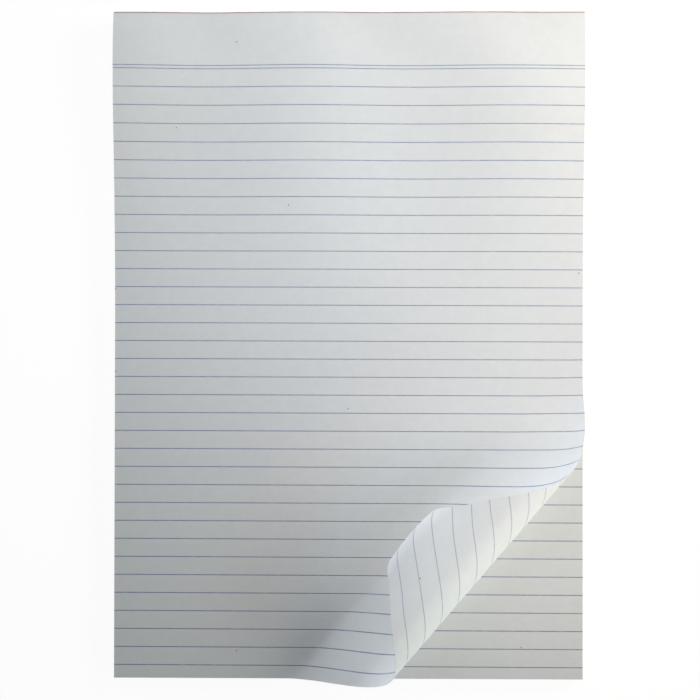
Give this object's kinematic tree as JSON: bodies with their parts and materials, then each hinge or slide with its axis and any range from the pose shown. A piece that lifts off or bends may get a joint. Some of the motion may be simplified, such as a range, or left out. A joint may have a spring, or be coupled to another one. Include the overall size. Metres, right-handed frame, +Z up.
{
  "type": "legal pad",
  "caption": "Flat pad of ruled white writing paper, gummed along its head onto a grey board, with the top leaf's lower right corner rolled over.",
  "frame": {"origin": "on the surface that the pad lies on, under the middle of the pad", "axes": "+X to the right of the page, +Y towards the glued head, +Z up out of the page"},
  "size_m": [0.21, 0.2974, 0.0426],
  "materials": {
    "chipboard": "matte",
    "ruled_paper_block": "matte",
    "ruled_paper_leaf": "matte",
    "padding_gum": "satin"
  },
  "bodies": {
    "root": {"back_board": "chipboard", "sheet_block": "ruled_paper_block", "top_sheet": "ruled_paper_leaf", "gum_strip": "padding_gum"}
  },
  "joints": []
}
